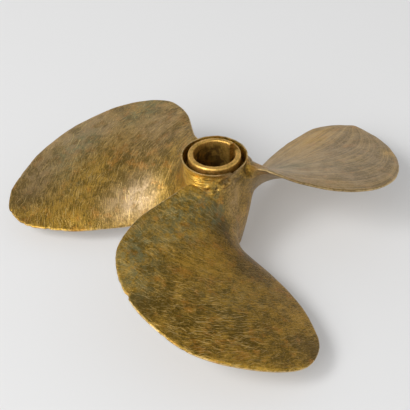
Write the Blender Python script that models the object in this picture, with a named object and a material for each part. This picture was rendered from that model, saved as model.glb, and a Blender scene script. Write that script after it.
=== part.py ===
"""A left-handed boat propeller: three blades and a hub in one bronze casting, with a keyed bush in its bore.

The shaft's axis is Z and the forward end of the hub is up. Everything is drawn from the hub's front
lip down and then lifted, so that the origin is the propeller's centre of mass.
Lengths are in metres and blade angles in degrees. Run with blender --background --python part.py
"""

from math import asin, cos, pi, radians, sin

import bmesh
import bpy
from mathutils import Matrix, Vector

# The lip of the hub's front end, over the centre of mass
FRONT_HEIGHT = 0.0363

# The blades, by the direction in which each one's zero line points, seen from above
BLADE_DIRECTIONS = {"left": 154.7, "front": 274.1, "right": 32.2}
TIP_RADIUS = 0.1524
CORE_RADIUS = 0.0140
PITCH = 0.2160
ROOT_EXTRA_PITCH = 0.0400
EXTRA_PITCH_SPAN = (0.0350, 0.0600)
RAKE_HEIGHT = -0.0372
RAKE_SLOPE = -0.07
# Radius, then the angles of the leading and the trailing edge from the blade's zero line
LEADING, TRAILING = 1, 2
OUTLINE = (
    (0.0140, -45.0, 20.0),
    (0.0220, -45.0, 22.0),
    (0.0300, -45.5, 24.5),
    (0.0400, -46.5, 27.0),
    (0.0600, -49.0, 28.5),
    (0.0800, -48.5, 28.5),
    (0.1000, -44.0, 28.0),
    (0.1200, -33.0, 26.0),
    (0.1350, -19.5, 24.0),
    (0.1450, -7.5, 20.5),
    (0.1500, 3.0, 17.5),
    (0.1524, 12.5, 12.5),
)
EDGE_THICKNESS = 0.0016
EDGE_SHARPNESS = 8
ROOT_CAMBER = 0.0105
TIP_CAMBER = 0.0016
FILLET_RADIUS = 0.0140
EDGE_FILLET_RADIUS = 0.0020
SECTION_HALF_POINTS = 20
FILLET_STEPS = 6
BLADE_STEPS = 18
TIP_STEP_LEFT_OUT = 0.25

# The hub, by radius and height under its front lip
HUB_STEPS = 96
HUB_LENGTH = 0.0745
# The barrel's radius at depths under the lip: it swells where the blades stand and narrows aft of them
BARREL = ((0.0120, 0.0206), (0.0270, 0.0208), (0.0380, 0.0232), (0.0460, 0.0233), (0.0620, 0.0207))
BARREL_RADIUS = BARREL[0][1]
LIP_RADIUS = 0.0225
LIP_INNER_RADIUS = 0.0215
FLARE_HEIGHT = BARREL[0][0]
AFT_RADIUS = 0.0188
AFT_ROUNDING = 0.0040
GROOVE_DEPTH = 0.0085
GROOVE_FLOOR_RADIUS = 0.0195

# The bush, which stands in the hub's counterbore with the clearance all round
BUSH_RADIUS = 0.0180
BUSH_LENGTH = 0.0500
BUSH_STANDS_OUT = 0.0018
BUSH_SHOULDER = 0.0016
BUSH_LEAD_IN = 0.0004
CLEARANCE = 0.0003
BORE_RADIUS = 0.0143
BORE_TAPER = 1 / 32
KEYWAY_WIDTH = 0.0075
KEYWAY_FLOOR_RADIUS = 0.0167
KEYWAY_DIRECTION = 27.0

# Base colour and roughness, from the photograph
CAST_FINISH = ((0.36, 0.25, 0.11), 0.42)
BUSH_FINISH = ((0.50, 0.34, 0.15), 0.38)

CUT_OVERRUN = 0.0050
ARC_STEPS = 5


def clear_scene():
    for item in list(bpy.data.objects):
        bpy.data.objects.remove(item, do_unlink=True)


def bronze(name, colour, roughness):
    material = bpy.data.materials.new(name)
    material.use_nodes = True
    shader = material.node_tree.nodes["Principled BSDF"]
    shader.inputs["Base Color"].default_value = (*colour, 1.0)
    shader.inputs["Roughness"].default_value = roughness
    shader.inputs["Metallic"].default_value = 1.0
    return material


def object_from(name, mesh_builder, material=None):
    bmesh.ops.recalc_face_normals(mesh_builder, faces=mesh_builder.faces)
    mesh = bpy.data.meshes.new(name)
    mesh_builder.to_mesh(mesh)
    mesh_builder.free()
    made = bpy.data.objects.new(name, mesh)
    made.location.z = FRONT_HEIGHT
    bpy.context.scene.collection.objects.link(made)
    if material:
        mesh.materials.append(material)
        mesh.shade_smooth()
    return made


def arc(centre_radius, centre_height, size, start, end):
    """Points of a round, as (radius, height), between two angles in degrees."""
    points = []
    for step in range(ARC_STEPS + 1):
        turn = radians(start + (end - start) * step / ARC_STEPS)
        points.append((centre_radius + size * cos(turn), centre_height + size * sin(turn)))
    return points


def revolved(profile, steps):
    """A closed profile of (radius, height) points, turned once about Z."""
    builder = bmesh.new()
    corners = [builder.verts.new((radius, 0.0, height)) for radius, height in profile]
    edges = [builder.edges.new((corners[i - 1], corners[i])) for i in range(len(corners))]
    bmesh.ops.spin(
        builder,
        geom=edges,
        cent=(0.0, 0.0, 0.0),
        axis=(0.0, 0.0, 1.0),
        angle=2 * pi,
        steps=steps,
        use_merge=True,
    )
    bmesh.ops.remove_doubles(builder, verts=builder.verts, dist=1e-6)
    axis_edges = [edge for edge in builder.edges if not edge.link_faces]
    bmesh.ops.delete(builder, geom=axis_edges, context="EDGES")
    return builder


def combine(target, tool, operation):
    modifier = target.modifiers.new(tool.name, "BOOLEAN")
    modifier.operation = operation
    modifier.solver = "EXACT"
    modifier.object = tool
    tool.hide_render = True
    tool.display_type = "WIRE"


def hub_blank():
    """The hub's outside as a solid, with its flared lip and its rounded aft end."""
    flare = []
    for step in range(ARC_STEPS + 1):
        down = step / ARC_STEPS
        radius = BARREL_RADIUS + (LIP_RADIUS - BARREL_RADIUS) * (1 - down) ** 2
        flare.append((radius, -FLARE_HEIGHT * down))
    barrel = [(radius, -depth) for depth, radius in BARREL[1:]]
    rounded_end = arc(AFT_RADIUS - AFT_ROUNDING, AFT_ROUNDING - HUB_LENGTH, AFT_ROUNDING, 0, -90)
    profile = [(0.0, 0.0), *flare, *barrel, *rounded_end, (0.0, -HUB_LENGTH)]
    return revolved(profile, HUB_STEPS)


def bore_radius(height):
    """The tapered bore's radius at this height, which is narrowest at the aft end."""
    return BORE_RADIUS + BORE_TAPER * height


def bore_tool():
    """What is cut out of the hub: the groove under the lip, the bush's counterbore and the aft bore."""
    counterbore = BUSH_RADIUS + CLEARANCE
    shoulder = -BUSH_LENGTH - CLEARANCE
    bottom = -HUB_LENGTH - CUT_OVERRUN
    profile = [
        (0.0, CUT_OVERRUN),
        (LIP_INNER_RADIUS, CUT_OVERRUN),
        (LIP_INNER_RADIUS, 0.0),
        (GROOVE_FLOOR_RADIUS, -GROOVE_DEPTH),
        (counterbore, -GROOVE_DEPTH),
        (counterbore, shoulder),
        (bore_radius(shoulder), shoulder),
        (bore_radius(bottom), bottom),
        (0.0, bottom),
    ]
    return revolved(profile, HUB_STEPS)


def bush_body():
    """The bush, whose top stands out of the hub and has a rounded shoulder."""
    shoulder = arc(
        BUSH_RADIUS - BUSH_SHOULDER, BUSH_STANDS_OUT - BUSH_SHOULDER, BUSH_SHOULDER, 0, 90
    )
    profile = [
        (BUSH_RADIUS, -BUSH_LENGTH),
        *shoulder,
        (BORE_RADIUS + BUSH_LEAD_IN, BUSH_STANDS_OUT),
        (BORE_RADIUS, BUSH_STANDS_OUT - BUSH_LEAD_IN),
        (bore_radius(-BUSH_LENGTH), -BUSH_LENGTH),
    ]
    return revolved(profile, HUB_STEPS)


def keyway_tool():
    length = BUSH_LENGTH + 2 * CUT_OVERRUN
    builder = bmesh.new()
    bmesh.ops.create_cube(builder, size=1.0)
    bmesh.ops.scale(builder, vec=(KEYWAY_FLOOR_RADIUS, KEYWAY_WIDTH, length), verts=builder.verts)
    middle = Vector((KEYWAY_FLOOR_RADIUS / 2, 0.0, -BUSH_LENGTH / 2))
    bmesh.ops.translate(builder, vec=middle, verts=builder.verts)
    turn = Matrix.Rotation(radians(KEYWAY_DIRECTION), 3, "Z")
    bmesh.ops.rotate(builder, cent=(0, 0, 0), matrix=turn, verts=builder.verts)
    return builder


def along_blade(radius):
    """Where a radius lies between the core, 0, and the tip, 1, on a scale that the round tip needs."""
    share = (radius - CORE_RADIUS) / (TIP_RADIUS - CORE_RADIUS)
    return asin(min(1.0, max(0.0, share))) / (pi / 2)


def edge_angle(radius, column):
    """The angle of the leading or trailing edge, on a smooth curve through the outline's rows."""
    places = [along_blade(row[0]) for row in OUTLINE]
    angles = [row[column] for row in OUTLINE]
    place = along_blade(radius)
    last = len(OUTLINE) - 1
    low = max(i for i in range(last) if places[i] <= place)
    slopes = []
    for i in (low, low + 1):
        before, after = max(0, i - 1), min(last, i + 1)
        slopes.append((angles[after] - angles[before]) / (places[after] - places[before]))
    span = places[low + 1] - places[low]
    t = (place - places[low]) / span
    start = (1 + 2 * t) * (1 - t) ** 2 * angles[low] + t * (1 - t) ** 2 * span * slopes[0]
    end = t * t * (3 - 2 * t) * angles[low + 1] + t * t * (t - 1) * span * slopes[1]
    return radians(start + end)


def blade_height(radius, angle):
    """The height of the blade's driving face: a left-handed screw, steeper at its root, raked aft."""
    inner, outer = EXTRA_PITCH_SPAN
    share = min(1.0, max(0.0, (outer - radius) / (outer - inner)))
    pitch = PITCH + ROOT_EXTRA_PITCH * share**1.5
    return RAKE_HEIGHT + RAKE_SLOPE * radius - pitch * angle / (2 * pi)


def fillet_width(radius, size):
    """How far a root fillet of this size stands out from the blade at this radius."""
    from_fillet_end = min(size, max(0.0, BARREL_RADIUS + size - radius))
    return size - (size * size - from_fillet_end * from_fillet_end) ** 0.5


def blade_section(radius):
    """One closed section on a cylinder about the shaft, as (angle, height) points."""
    leading = edge_angle(radius, LEADING)
    trailing = edge_angle(radius, TRAILING)
    nose = Vector((radius * leading, blade_height(radius, leading)))
    tail = Vector((radius * trailing, blade_height(radius, trailing)))
    along = (tail - nose).normalized()
    forward = Vector((-along.y, along.x))
    longer = fillet_width(radius, EDGE_FILLET_RADIUS)
    nose -= along * longer
    tail += along * longer
    out = (TIP_RADIUS - radius) / (TIP_RADIUS - BARREL_RADIUS)
    camber = TIP_CAMBER + (ROOT_CAMBER - TIP_CAMBER) * out
    fillet = fillet_width(radius, FILLET_RADIUS)
    points = []
    for step in range(2 * SECTION_HALF_POINTS):
        turn = pi * step / SECTION_HALF_POINTS
        side = 1 if step <= SECTION_HALF_POINTS else -1
        across = (1 - cos(turn)) / 2
        bulge = 4 * across * (1 - across)
        edge = EDGE_THICKNESS / 2 * (1 - abs(cos(turn)) ** EDGE_SHARPNESS) ** 0.5
        back = camber * bulge if side > 0 else 0.0
        offset = side * (edge + fillet * bulge**0.5 + back)
        point = nose.lerp(tail, across) + forward * offset
        points.append((point.x / radius, point.y))
    return points


def blade_radii():
    """Radii of the sections, close together in the fillet and near the round tip."""
    radii = []
    for step in range(FILLET_STEPS):
        radii.append(BARREL_RADIUS + FILLET_RADIUS * (1 - cos(pi / 2 * step / FILLET_STEPS)))
    first = BARREL_RADIUS + FILLET_RADIUS
    for step in (*range(BLADE_STEPS), BLADE_STEPS - TIP_STEP_LEFT_OUT):
        radii.append(first + (TIP_RADIUS - first) * sin(pi / 2 * step / BLADE_STEPS))
    return radii


def blade_solid(direction):
    """One blade, with its root run into the hub's core."""
    builder = bmesh.new()
    radii = blade_radii()
    sections = [blade_section(radius) for radius in radii]
    radii.insert(0, CORE_RADIUS)
    sections.insert(0, sections[0])
    loops = []
    for radius, section in zip(radii, sections):
        loop = []
        for angle, height in section:
            turn = radians(direction) + angle
            loop.append(builder.verts.new((radius * cos(turn), radius * sin(turn), height)))
        loops.append(loop)
    for inner, outer in zip(loops, loops[1:]):
        for i in range(len(inner)):
            builder.faces.new((inner[i - 1], inner[i], outer[i], outer[i - 1]))
    for loop in (loops[0], loops[-1]):
        for i in range(SECTION_HALF_POINTS):
            corners = (loop[i], loop[i + 1], loop[-i - 1], loop[-i])
            builder.faces.new(list(dict.fromkeys(corners)))
    return builder


def main():
    clear_scene()
    casting_bronze = bronze("cast_bronze", *CAST_FINISH)
    bush_bronze = bronze("bush_bronze", *BUSH_FINISH)
    casting = object_from("hub_and_blades", hub_blank(), casting_bronze)
    for name, direction in BLADE_DIRECTIONS.items():
        combine(casting, object_from(f"{name}_blade_tool", blade_solid(direction)), "UNION")
    combine(casting, object_from("bore_tool", bore_tool()), "DIFFERENCE")
    bush = object_from("shaft_bush", bush_body(), bush_bronze)
    combine(bush, object_from("keyway_tool", keyway_tool()), "DIFFERENCE")


main()
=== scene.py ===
"""A bronze boat propeller on a pale studio floor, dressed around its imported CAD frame."""

import logging
from dataclasses import dataclass, field
from enum import Enum
from math import cos, pi, radians, sin

import bmesh
import bpy
import numpy as np
from mathutils import Matrix, Vector, kdtree, noise
from mathutils.bvhtree import BVHTree


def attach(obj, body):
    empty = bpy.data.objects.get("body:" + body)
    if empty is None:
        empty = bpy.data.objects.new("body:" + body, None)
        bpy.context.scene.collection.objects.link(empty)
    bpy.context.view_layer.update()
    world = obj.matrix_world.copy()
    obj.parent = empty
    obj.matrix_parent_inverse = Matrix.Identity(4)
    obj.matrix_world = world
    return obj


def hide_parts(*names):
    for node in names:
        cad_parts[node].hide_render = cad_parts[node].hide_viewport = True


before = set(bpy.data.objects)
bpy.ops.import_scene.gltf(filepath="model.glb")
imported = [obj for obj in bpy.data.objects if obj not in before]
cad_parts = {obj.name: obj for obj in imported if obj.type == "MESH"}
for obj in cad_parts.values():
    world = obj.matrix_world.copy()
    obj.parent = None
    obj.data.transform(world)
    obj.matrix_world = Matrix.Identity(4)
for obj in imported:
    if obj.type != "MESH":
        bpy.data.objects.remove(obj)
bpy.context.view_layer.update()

LOG = logging.getLogger("propeller")
MM = 0.001
LIP_HEIGHT = 0.0363
BODY = "root"


Colour = tuple[float, float, float]
Source = bpy.types.NodeSocket | float | tuple[float, ...]


class Node(Enum):
    """The CAD nodes that the pieces here stand for."""

    CASTING = "hub_and_blades"
    BUSH = "shaft_bush"


class Slot(Enum):
    """The record's material slots."""

    CAST = "cast_bronze"
    BUSH = "bush_bronze"


class Edge(Enum):
    """The two edges of a blade, as the outline's columns."""

    LEADING = 1
    TRAILING = 2


def rgba(colour: Colour) -> tuple[float, ...]:
    """A colour as a node's socket takes it."""
    return (*colour, 1.0)


def deselect_all() -> None:
    """Leave object mode's selection empty."""
    for thing in bpy.context.selected_objects:
        thing.select_set(False)


def make_active(thing: bpy.types.Object) -> None:
    """Select one object alone, so that an operator acts on nothing else."""
    deselect_all()
    thing.select_set(True)
    bpy.context.view_layer.objects.active = thing


def vertices_of(thing: bpy.types.Object) -> np.ndarray:
    """The vertex positions of a mesh object, one row each."""
    places = np.zeros(len(thing.data.vertices) * 3, np.float32)
    thing.data.vertices.foreach_get("co", places)
    return places.reshape(-1, 3).astype(float)


def put_vertices(thing: bpy.types.Object, places: np.ndarray) -> None:
    """Move a mesh object's vertices to these positions."""
    thing.data.vertices.foreach_set("co", places.astype(np.float32).ravel())
    thing.data.update()


def normals_of(thing: bpy.types.Object) -> np.ndarray:
    """The vertex normals of a mesh object, one row each."""
    normals = np.zeros(len(thing.data.vertices) * 3, np.float32)
    thing.data.vertex_normals.foreach_get("vector", normals)
    return normals.reshape(-1, 3).astype(float)


def tree_of(points: np.ndarray) -> kdtree.KDTree:
    """A tree that finds the nearest of some points."""
    tree = kdtree.KDTree(len(points))
    for i, point in enumerate(points):
        tree.insert(point, i)
    tree.balance()
    return tree


def waves(places: np.ndarray, size: float, seed: float) -> np.ndarray:
    """Soft noise from about -0.5 to 0.5 at each place, with waves of this size in metres."""
    shift = Vector((seed, seed, seed))
    return np.array([noise.noise(Vector(place) / size + shift) for place in places])


def surface_of(thing: bpy.types.Object) -> BVHTree:
    """The surface of a mesh object, to find the nearest point on."""
    mesh = bmesh.new()
    mesh.from_mesh(thing.data)
    surface = BVHTree.FromBMesh(mesh)
    mesh.free()
    return surface


def round_move(own: np.ndarray, other: np.ndarray, away: float, size: float) -> np.ndarray:
    """How a point of one surface moves where another meets it, so that a round joins the two.

    Args:
        own: the direction that the point's own surface faces.
        other: the direction from the other surface to the point.
        away: the distance to the other surface.
        size: how far away the round begins.

    Returns:
        The move, in metres.
    """
    near = max(0.0, 1 - away / max(size, 1e-6))
    facing = own * (1 - near / 2) + other * (near / 2)
    return facing * (size / 4 * near**2 / max(float(facing @ facing), 0.2))


def combine(target: bpy.types.Object, tool: bpy.types.Object, operation: str) -> None:
    """Join a closed tool to a closed target, or cut it out, and remove the tool.

    Args:
        target: the object that is kept.
        tool: the object that is used up.
        operation: UNION or DIFFERENCE.
    """
    make_active(target)
    modifier = target.modifiers.new("combine", "BOOLEAN")
    modifier.operation = operation
    modifier.solver = "MANIFOLD"
    modifier.object = tool
    bpy.ops.object.modifier_apply(modifier=modifier.name)
    bpy.data.objects.remove(tool)


def close_up(thing: bpy.types.Object, apart: float) -> None:
    """Merge doubles, fill the open ends and turn all faces outwards.

    Args:
        thing: the mesh object.
        apart: points closer than this become one, in metres.
    """
    make_active(thing)
    bpy.ops.object.mode_set(mode="EDIT")
    bpy.ops.mesh.select_all(action="SELECT")
    bpy.ops.mesh.remove_doubles(threshold=apart)
    bpy.ops.mesh.select_all(action="DESELECT")
    bpy.ops.mesh.select_mode(type="EDGE")
    bpy.ops.mesh.select_non_manifold(extend=False, use_wire=False, use_multi_face=False)
    bpy.ops.mesh.fill_holes(sides=0)
    bpy.ops.mesh.select_mode(type="VERT")
    bpy.ops.mesh.select_all(action="SELECT")
    bpy.ops.mesh.normals_make_consistent(inside=False)
    if bmesh.from_edit_mesh(thing.data).calc_volume(signed=True) < 0:
        bpy.ops.mesh.flip_normals()
    bpy.ops.object.mode_set(mode="OBJECT")


def turned(name: str, profile: list[tuple[float, float]], steps: int, ring: bool) -> bpy.types.Object:
    """Turn a profile about Z: a circle is extruded and resized from point to point.

    Args:
        name: the new object's name.
        profile: points as (radius, height), from the lip's frame, in metres.
        steps: corners of each circle.
        ring: True where the last point joins the first, False where both ends are filled.

    Returns:
        A closed mesh object.
    """
    deselect_all()
    radius, height = profile[0]
    bpy.ops.mesh.primitive_circle_add(vertices=steps, radius=radius, location=(0, 0, height))
    made = bpy.context.object
    made.name = name
    bpy.ops.object.transform_apply(location=True)
    bpy.ops.object.mode_set(mode="EDIT")
    bpy.ops.mesh.select_all(action="SELECT")
    for wide, high in profile[1:] + profile[:1] * ring:
        rise = {"value": (0.0, 0.0, high - height)}
        bpy.ops.mesh.extrude_region_move(TRANSFORM_OT_translate=rise)
        grow = wide / radius
        bpy.ops.transform.resize(value=(grow, grow, 1.0), center_override=(0.0, 0.0, high))
        radius, height = wide, high
    bpy.ops.object.mode_set(mode="OBJECT")
    close_up(made, 1e-6)
    return made


def smooth_through(places: np.ndarray, rows: list[float], values: list[float]) -> np.ndarray:
    """Values on a smooth curve through given rows.

    Args:
        places: where the values are wanted.
        rows: rising positions of the known values.
        values: the known values.

    Returns:
        One value for each place.
    """
    rows, values = np.array(rows), np.array(values)
    last = len(rows) - 1
    before = np.maximum(np.arange(last + 1) - 1, 0)
    after = np.minimum(np.arange(last + 1) + 1, last)
    slopes = (values[after] - values[before]) / (rows[after] - rows[before])
    low = np.clip(np.searchsorted(rows, places, side="right") - 1, 0, last - 1)
    span = rows[low + 1] - rows[low]
    t = (places - rows[low]) / span
    start = (1 + 2 * t) * (1 - t) ** 2 * values[low] + t * (1 - t) ** 2 * span * slopes[low]
    end = t * t * (3 - 2 * t) * values[low + 1] + t * t * (t - 1) * span * slopes[low + 1]
    return start + end


def fillet_width(radius: np.ndarray, foot: float, size: float) -> np.ndarray:
    """How far a round of this size stands out from a blade, at each radius from its foot."""
    left = np.clip(foot + size - radius, 0.0, size)
    return size - np.sqrt(size * size - left * left)


def faded(values: np.ndarray, start: float, end: float) -> np.ndarray:
    """A smooth rise from 0 at the start to 1 at the end."""
    share = np.clip((values - start) / (end - start), 0.0, 1.0)
    return share * share * (3 - 2 * share)


@dataclass(frozen=True)
class Screw:
    """The left-handed screw surface that the blades share."""

    pitch: float = 0.2160
    root_extra_pitch: float = 0.0400
    extra_pitch_inner: float = 0.0350
    extra_pitch_outer: float = 0.0600
    rake_height: float = -0.0372
    rake_slope: float = -0.07

    def pitch_at(self, radius: np.ndarray) -> np.ndarray:
        """The pitch at each radius, which is larger by the root."""
        reach = self.extra_pitch_outer - self.extra_pitch_inner
        share = np.clip((self.extra_pitch_outer - radius) / reach, 0.0, 1.0)
        return self.pitch + self.root_extra_pitch * share**1.5

    def height(self, radius: np.ndarray, angle: np.ndarray) -> np.ndarray:
        """The height of the driving face, from the hub's lip."""
        raked = self.rake_height + self.rake_slope * radius
        return raked - self.pitch_at(radius) * angle / (2 * pi)


class Stain(Enum):
    """What a patch does to the finish, and in places to the painted highlight and shade, as the name of the mesh's
    attribute.
    """

    PATINA = "patina"
    # darker tone of the metal; in the hub's dents also painted shade
    DARK = "dark"
    # golden, bright metal; by the right blade's upper edge also a painted highlight
    GOLDEN = "golden"
    # pale, greyer tone of the metal; also carries a painted highlight, a paler spot on the left blade's root where the
    # glint light's highlight falls
    PALE_AND_SHEEN = "pale"
    GROUND = "ground"
    BRUSHED = "brushed"


@dataclass(frozen=True)
class Patch:
    """A soft round patch of one stain, seen along the shaft."""

    stain: Stain
    radius: float
    angle: float
    size: float
    amount: float = 1.0

    def strength(self, places: np.ndarray) -> np.ndarray:
        """How strong the patch is at each place."""
        centre = self.radius * MM * np.array([cos(radians(self.angle)), sin(radians(self.angle))])
        away = np.linalg.norm(places[:, :2] - centre, axis=1)
        return self.amount * np.exp(-((away / (self.size * MM)) ** 2))


@dataclass(frozen=True)
class Nick:
    """A nick in a blade's edge."""

    edge: Edge
    radius: float
    width: float
    depth: float


@dataclass(frozen=True)
class Dent:
    """A dent, or a lump where it stands out, in the hub's wall."""

    angle: float
    depth: float
    wide: float
    high: float
    out: float

    def strength(self, places: np.ndarray) -> np.ndarray:
        """How much of the dent's depth is felt at each place, in the lip's frame."""
        radius, angle = np.hypot(places[:, 0], places[:, 1]), np.degrees(np.arctan2(places[:, 1], places[:, 0]))
        beside = np.radians((angle - self.angle + 180) % 360 - 180) * radius / (self.wide * MM)
        below = (-places[:, 2] - self.depth * MM) / (self.high * MM)
        return np.exp(-(beside**2 + below**2))


@dataclass(frozen=True)
class Blade:
    """One blade: a screw surface with a thin rim, a round back and a root that spreads on to the hub."""

    name: str
    direction: float
    lean: float = 0.0
    twist: float = 0.0
    lead_changes: tuple[float, ...] = (0.0,) * 12
    trail_changes: tuple[float, ...] = (0.0,) * 12
    raggedness: float = 0.00015
    nicks: tuple[Nick, ...] = ()
    seed: float = 0.0
    round_left: float = 0.5
    ground: float = 0.5
    brushed: float = 0.0
    pale: float = 0.0
    screw: Screw = Screw()
    outline: tuple[tuple[float, float, float], ...] = (
        (0.0140, -45.0, 20.0),
        (0.0220, -45.0, 22.0),
        (0.0300, -45.5, 24.5),
        (0.0400, -46.5, 27.0),
        (0.0600, -49.0, 28.5),
        (0.0800, -48.5, 28.5),
        (0.1000, -44.0, 28.0),
        (0.1200, -33.0, 26.0),
        (0.1350, -19.5, 24.0),
        (0.1450, -7.5, 20.5),
        (0.1500, 3.0, 17.5),
        (0.1524, 12.5, 12.5),
    )
    core: float = 0.0140
    tip: float = 0.1524
    inner: float = 0.0170
    foot: float = 0.0206
    edge_fillet: float = 0.0030
    rim_half_thickness: float = 0.0008
    rim_round: float = 0.0010
    root_camber: float = 0.0065
    tip_camber: float = 0.0016
    half_columns: int = 44
    root_rows: int = 34
    outer_rows: int = 116
    root_end: float = 0.0400

    def along(self, radius: np.ndarray) -> np.ndarray:
        """Where a radius lies from the core, 0, to the tip, 1, on a scale that the round tip needs."""
        share = (radius - self.core) / (self.tip - self.core)
        return np.arcsin(np.clip(share, 0.0, 1.0)) / (pi / 2)

    def edge_angle(self, radius: np.ndarray, edge: Edge) -> np.ndarray:
        """The angle of one edge at each radius, from the blade's direction, in radians."""
        rows = [float(self.along(np.array(row[0]))) for row in self.outline]
        changes = self.lead_changes if edge is Edge.LEADING else self.trail_changes
        angles = [row[edge.value] + change for row, change in zip(self.outline, changes)]
        return np.radians(smooth_through(self.along(radius), rows, angles))

    def radius_at(self, share: np.ndarray) -> np.ndarray:
        """The radius of each row, close together in the root and by the round tip."""
        split = self.root_rows / (self.root_rows + self.outer_rows)
        root = self.inner + (self.root_end - self.inner) * share / split
        outer = np.sin(pi / 2 * np.clip((share - split) / (1 - split), 0.0, 1.0))
        return np.where(share < split, root, self.root_end + (self.tip - self.root_end) * outer)

    def section_point(self, radius: np.ndarray, across: np.ndarray, offset: np.ndarray) -> np.ndarray:
        """A point of the blade in space.

        Args:
            radius: its distance from the shaft's axis.
            across: its place from the leading edge, 0, to the trailing edge, 1.
            offset: how far it stands in front of the driving face.

        Returns:
            Positions from the hub's lip, one row each.
        """
        lead = self.edge_angle(radius, Edge.LEADING)
        trail = np.maximum(self.edge_angle(radius, Edge.TRAILING), lead)
        slope = self.screw.pitch_at(radius) / (2 * pi)
        length = np.hypot(radius, slope)
        longer = fillet_width(radius, self.foot, self.edge_fillet) / length
        angle = lead - longer + (trail - lead + 2 * longer) * across
        turn = radians(self.direction) + angle + offset * slope / length / radius
        height = self.screw.height(radius, angle) + offset * radius / length
        height = height + self.lean * radius + self.twist * radius * np.sin(angle)
        return np.stack([radius * np.cos(turn), radius * np.sin(turn), height], axis=-1)

    def rim(self, points: int = 2400) -> tuple[np.ndarray, np.ndarray, list[tuple[Edge, float]]]:
        """The outline in space, from the leading edge's root over the tip to the trailing edge's root.

        Args:
            points: how many points each edge has.

        Returns:
            The points, the direction from each into the blade, and each one's edge and radius.
        """
        share = np.linspace(0.0, 1.0, points)
        radius = self.radius_at(share)
        lead = self.section_point(radius, np.zeros(points), np.zeros(points))
        trail = self.section_point(radius, np.ones(points), np.zeros(points))
        line = np.concatenate([lead, trail[::-1]])
        along = np.gradient(line, axis=0)
        raised = np.full(points, MM)
        up = np.concatenate([
            self.section_point(radius, np.zeros(points), raised) - lead,
            (self.section_point(radius, np.ones(points), raised) - trail)[::-1],
        ])
        inward = np.cross(along, up)
        inward /= np.maximum(np.linalg.norm(inward, axis=1), 1e-12)[:, None]
        middle = self.section_point(np.array([0.09]), np.array([0.5]), np.zeros(1))[0]
        if np.sum(inward * (middle - line)) < 0:
            inward = -inward
        marks = [(Edge.LEADING, r) for r in radius] + [(Edge.TRAILING, r) for r in radius[::-1]]
        return line, inward, marks

    def wear_depth(self, line: np.ndarray, marks: list[tuple[Edge, float]]) -> np.ndarray:
        """How far the rim is worn back at each of its points: ragged all along, with deeper nicks."""
        length = np.concatenate([[0.0], np.cumsum(np.linalg.norm(np.diff(line, axis=0), axis=1))])
        depth = np.zeros(len(line))
        for i, far in enumerate(length):
            coarse = noise.noise(Vector((far / (9 * MM), self.seed, 0.0)))
            fine = noise.noise(Vector((far / (2.6 * MM), self.seed, 5.0)))
            depth[i] = self.raggedness * max(0.0, coarse + 0.7 * fine + 0.2)
        for nick in self.nicks:
            places = [k for k, mark in enumerate(marks) if mark[0] is nick.edge]
            centre = min(places, key=lambda k: abs(marks[k][1] - nick.radius * MM))
            away = np.abs(length - length[centre]) / (nick.width * MM / 2)
            depth += nick.depth * MM * np.clip(1 - away, 0.0, 1.0) ** 0.7
        return depth

    def build(self) -> bpy.types.Object:
        """Wrap a flat grid round the blade's sections, as a closed mesh.

        Returns:
            The blade, with its root inside the hub.
        """
        deselect_all()
        rows = self.root_rows + self.outer_rows
        bpy.ops.mesh.primitive_grid_add(x_subdivisions=2 * self.half_columns, y_subdivisions=rows, size=1.0)
        made = bpy.context.object
        made.name = f"{self.name}_blade"
        flat = vertices_of(made)
        turn = 2 * pi * (flat[:, 0] + 0.5)
        across = (1 - np.cos(turn)) / 2
        upper = flat[:, 0] < 0
        radius = self.radius_at(np.clip(flat[:, 1] + 0.5, 0.0, 1.0))
        middle = self.section_point(radius, across, np.zeros(len(flat)))
        line, inward, marks = self.rim()
        depth = self.wear_depth(line, marks)
        tree = tree_of(line)
        found = [tree.find(point) for point in middle]
        nearest = np.array([hit[1] for hit in found])
        distance = np.array([hit[2] for hit in found])
        rounding = 1 - np.clip(distance / self.rim_round, 0.0, 1.0)
        edge = self.rim_half_thickness * np.sqrt(1 - rounding**2)
        bulge = 4 * across * (1 - across)
        out = np.clip((self.tip - radius) / (self.tip - self.foot), 0.0, 1.0)
        camber = self.tip_camber + (self.root_camber - self.tip_camber) * out
        offset = np.where(upper, edge + camber * bulge, -edge)
        places = self.section_point(radius, across, offset)
        places += inward[nearest] * (depth[nearest] * np.exp(-((distance / (3 * MM)) ** 2)))[:, None]
        put_vertices(made, places)
        close_up(made, 2e-5)
        return made


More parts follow.
